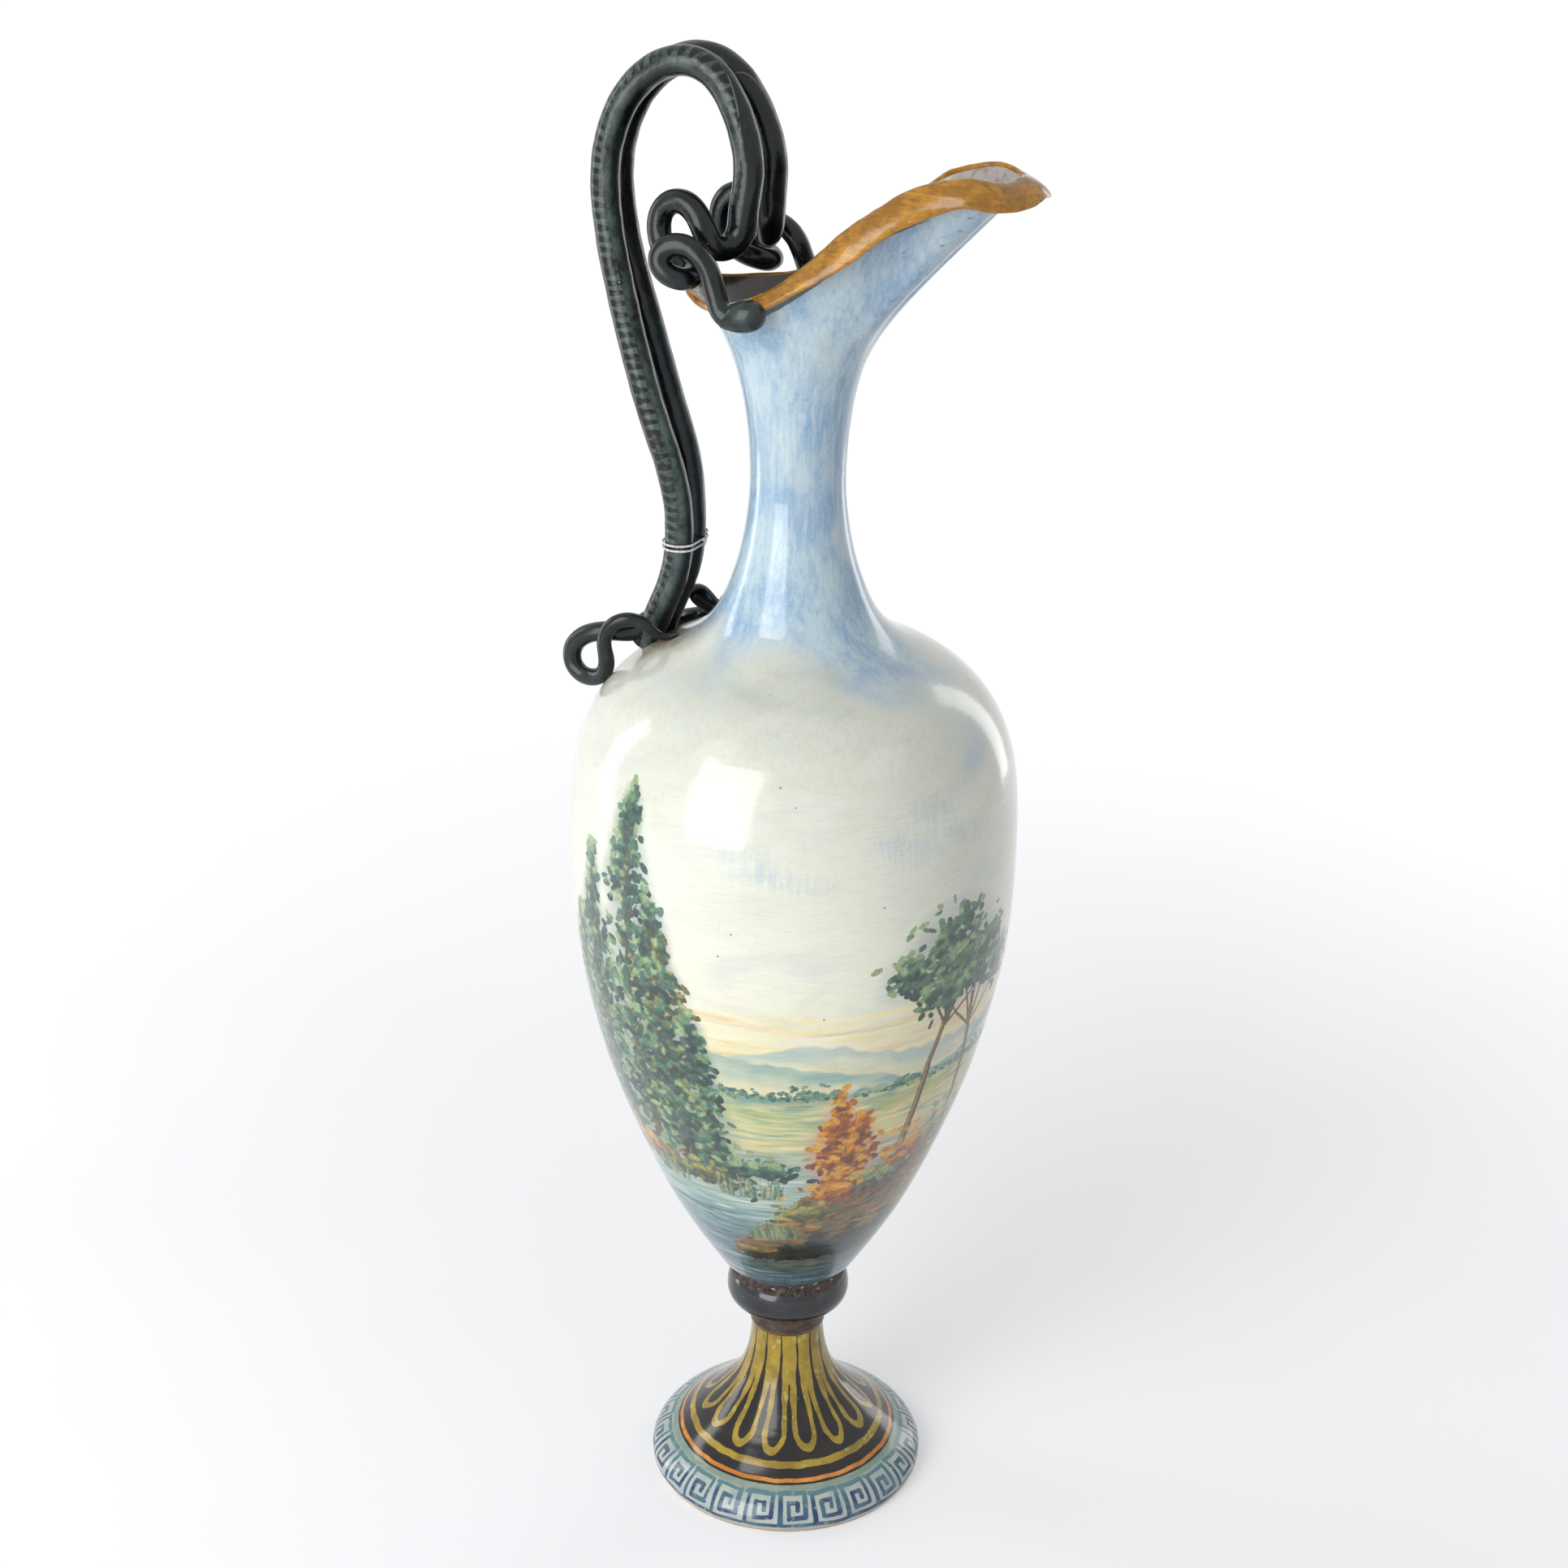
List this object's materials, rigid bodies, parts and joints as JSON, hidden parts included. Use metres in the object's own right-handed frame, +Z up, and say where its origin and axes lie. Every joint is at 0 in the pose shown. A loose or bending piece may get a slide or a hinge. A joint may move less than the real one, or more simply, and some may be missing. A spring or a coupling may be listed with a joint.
{
  "type": "oinochoe jug",
  "caption": "Tall painted tin-glazed ewer on a trumpet foot, with an upswept pouring lip and a high handle of coiled dark serpents.",
  "frame": {"origin": "centre of the foot ring's resting plane, on the axis of the turned body", "axes": "+Z up along the axis of the body, +X towards the pouring lip, the handle on the -X side"},
  "size_m": [0.2475, 0.236, 0.7984],
  "materials": {
    "painted_glaze": "gloss",
    "blue_glaze": "gloss",
    "ochre_glaze": "gloss",
    "serpent_glaze": "gloss",
    "foot_glaze": "gloss",
    "dark_glaze": "gloss",
    "brown_glaze": "gloss",
    "joint_compound": "matte",
    "brass_hardware": "satin",
    "leather_gasket": "matte",
    "white_thread": "matte"
  },
  "bodies": {
    "root": {"foot": "foot_glaze", "collar": "brown_glaze", "knop": "dark_glaze", "joint_filler": "joint_compound", "belly": "painted_glaze", "shoulder": "painted_glaze", "neck": "blue_glaze", "mouth": "blue_glaze", "rim_lip": "ochre_glaze", "tie_rod": "brass_hardware", "tie_nuts": "brass_hardware", "tie_washers": "brass_hardware", "tie_gaskets": "leather_gasket", "thread_tie": "white_thread", "serpent_body_near": "serpent_glaze", "serpent_body_far": "serpent_glaze", "serpent_neck_coil_near": "serpent_glaze", "serpent_neck_coil_far": "serpent_glaze", "serpent_head_near": "serpent_glaze", "serpent_head_far": "serpent_glaze", "serpent_tail_near": "serpent_glaze", "serpent_tail_far": "serpent_glaze"}
  },
  "joints": []
}
